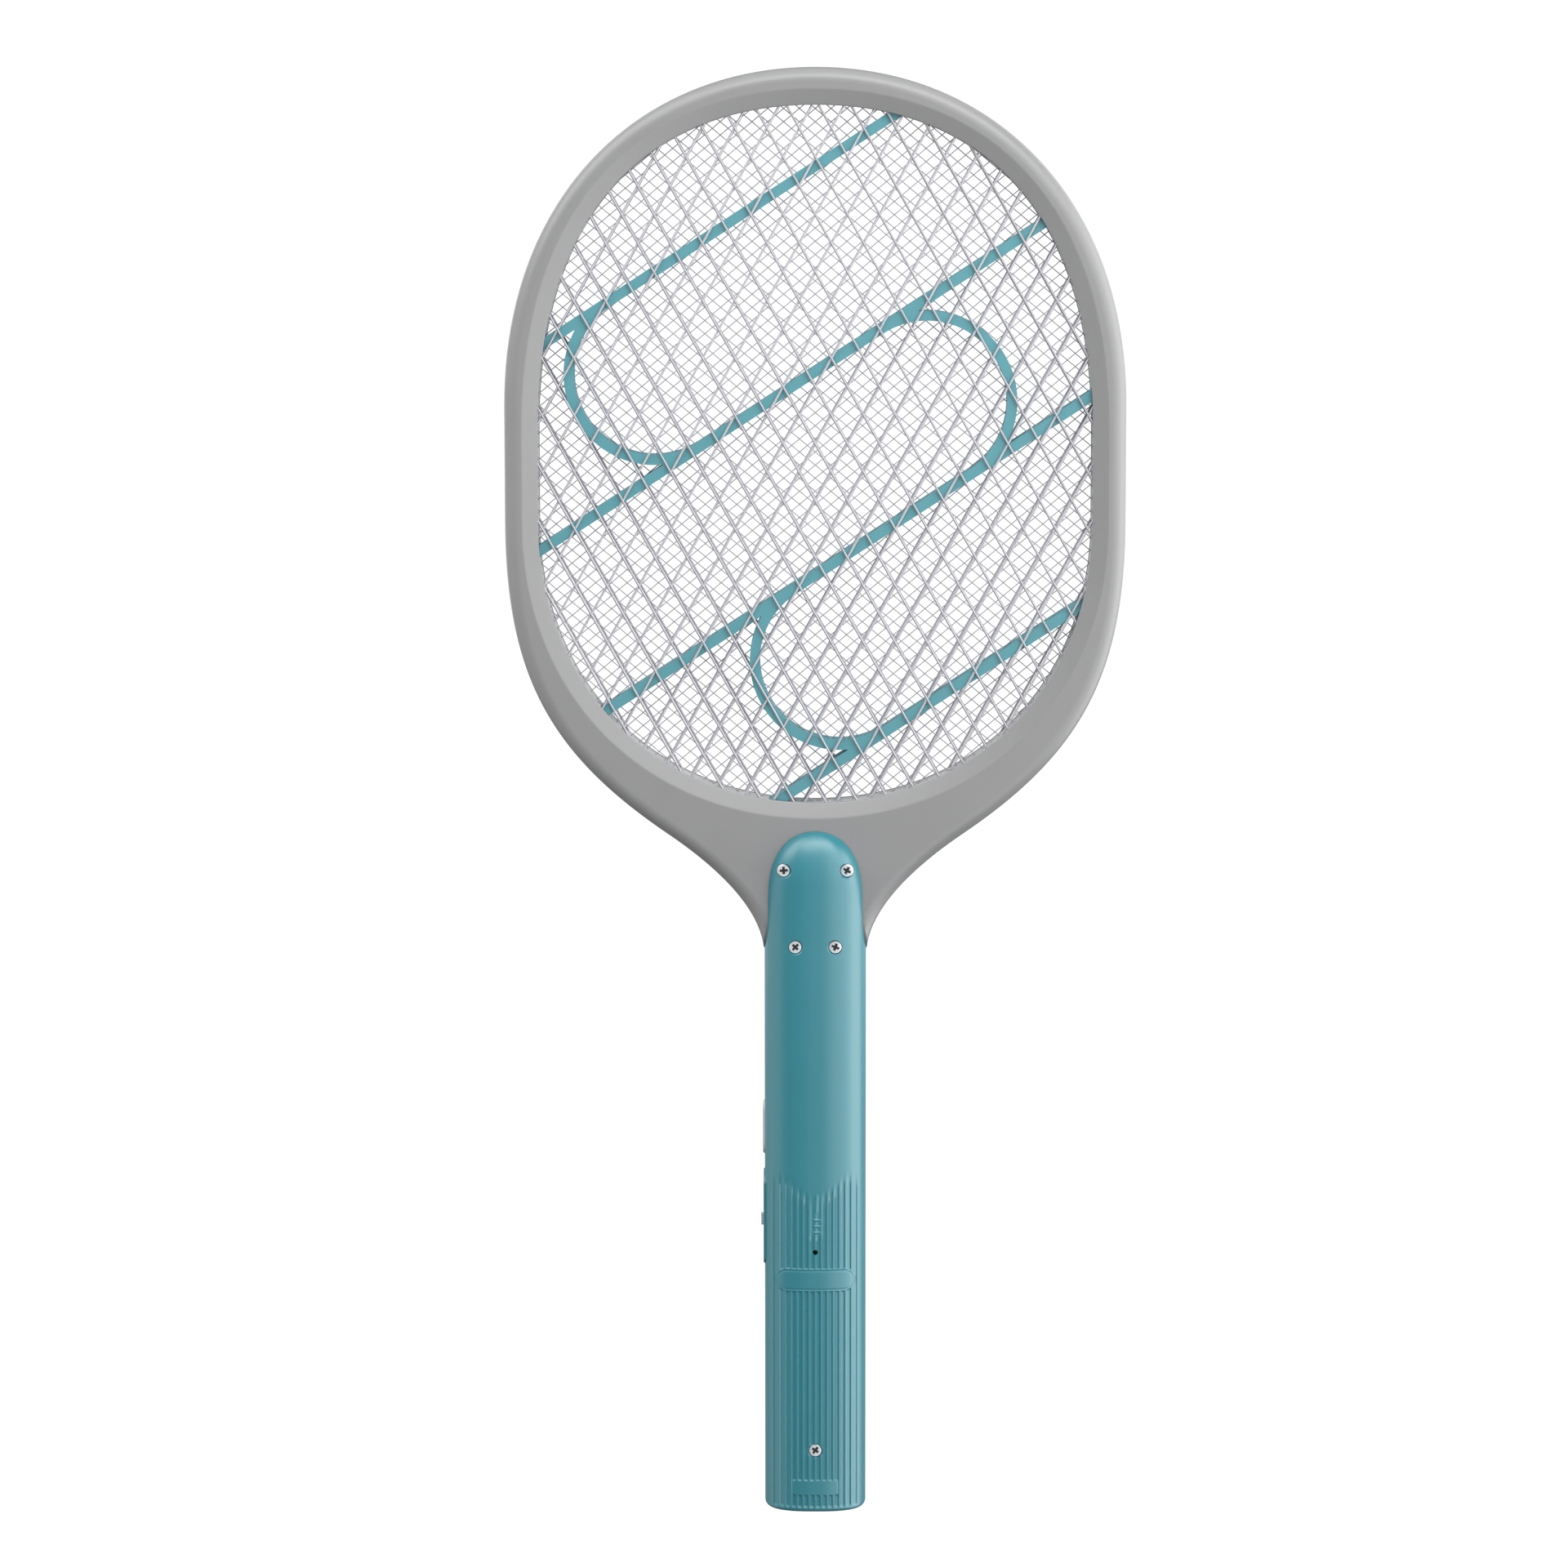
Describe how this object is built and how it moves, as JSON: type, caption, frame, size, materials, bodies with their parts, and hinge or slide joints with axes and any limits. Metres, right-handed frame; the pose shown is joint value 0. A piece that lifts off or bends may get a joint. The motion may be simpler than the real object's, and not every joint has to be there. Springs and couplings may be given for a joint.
{
  "type": "electric fly swatter",
  "caption": "Battery electric fly swatter: a wide framed head with coarse and fine wire nets held apart by a serpentine spacer, on a straight hollow handle with a side switch and a push key.",
  "frame": {"origin": "middle of the handle's flat end", "axes": "+Z from the handle's end to the head, +X right in the rear view, -Y the rear face with the screws"},
  "size_m": [0.213, 0.033, 0.5],
  "materials": {
    "teal": "satin moulded plastic",
    "grey": "satin moulded plastic",
    "pale_grey": "satin moulded plastic",
    "wire": "drawn wire",
    "steel": "plated",
    "brass": "plain",
    "board": "solder mask",
    "black": "moulded",
    "ferrite": "sintered",
    "tape": "film tape",
    "film": "dipped epoxy",
    "cell_wrap": "shrink sleeve",
    "lead_red": "wire insulation",
    "smoked": "clear dark plastic"
  },
  "bodies": {
    "swatter": {"handle_rear_shell": "teal", "handle_front_shell": "teal", "rib_insert_rear": "teal", "rib_insert_front": "teal", "switch_plate": "teal", "frame_rear": "grey", "frame_front": "grey", "net_carrier_rear": "grey", "net_carrier_front": "grey", "net_rear": "wire", "net_front": "wire", "net_inner": "wire", "indicator_led": "pale_grey", "hv_diode_left": "black", "hv_diode_middle": "black", "hv_diode_right": "black", "battery_lead_negative": "black", "slide_switch_body": "steel", "tact_switch_body": "steel", "charging_port": "steel", "screw_neck_upper_left": "steel", "screw_neck_upper_right": "steel", "screw_neck_lower_left": "steel", "screw_neck_lower_right": "steel", "screw_handle_end": "steel", "board_screw_lower": "steel", "board_screw_upper": "steel", "battery_tab_positive": "steel", "battery_tab_negative": "steel", "circuit_board": "board", "battery_cell": "cell_wrap", "battery_lead_positive": "lead_red", "hv_lead_rear": "lead_red", "hv_lead_inner": "lead_red", "hv_lead_front": "lead_red", "indicator_light_pipe": "smoked", "transformer_core": "ferrite", "transformer_winding": "tape", "bleeder_resistor": "tape", "hv_capacitor_left": "film", "hv_capacitor_right": "film", "net_contact_rear": "brass", "net_contact_inner": "brass", "net_contact_front": "brass"},
    "fire_button": {"fire_button": "pale_grey", "tact_switch_plunger": "black"},
    "slide_knob": {"slide_knob": "pale_grey", "slide_switch_actuator": "black"}
  },
  "joints": [
    {"name": "fire_button_press", "type": "slide", "parent": "swatter", "child": "fire_button", "axis": [1, 0, 0], "range_m": [0, 0.0006], "stiffness_N_per_m": 1500, "springref_m": -0.0005},
    {"name": "slide_knob_travel", "type": "slide", "parent": "swatter", "child": "slide_knob", "axis": [0, 0, 1], "range_m": [0, 0.004]}
  ]
}
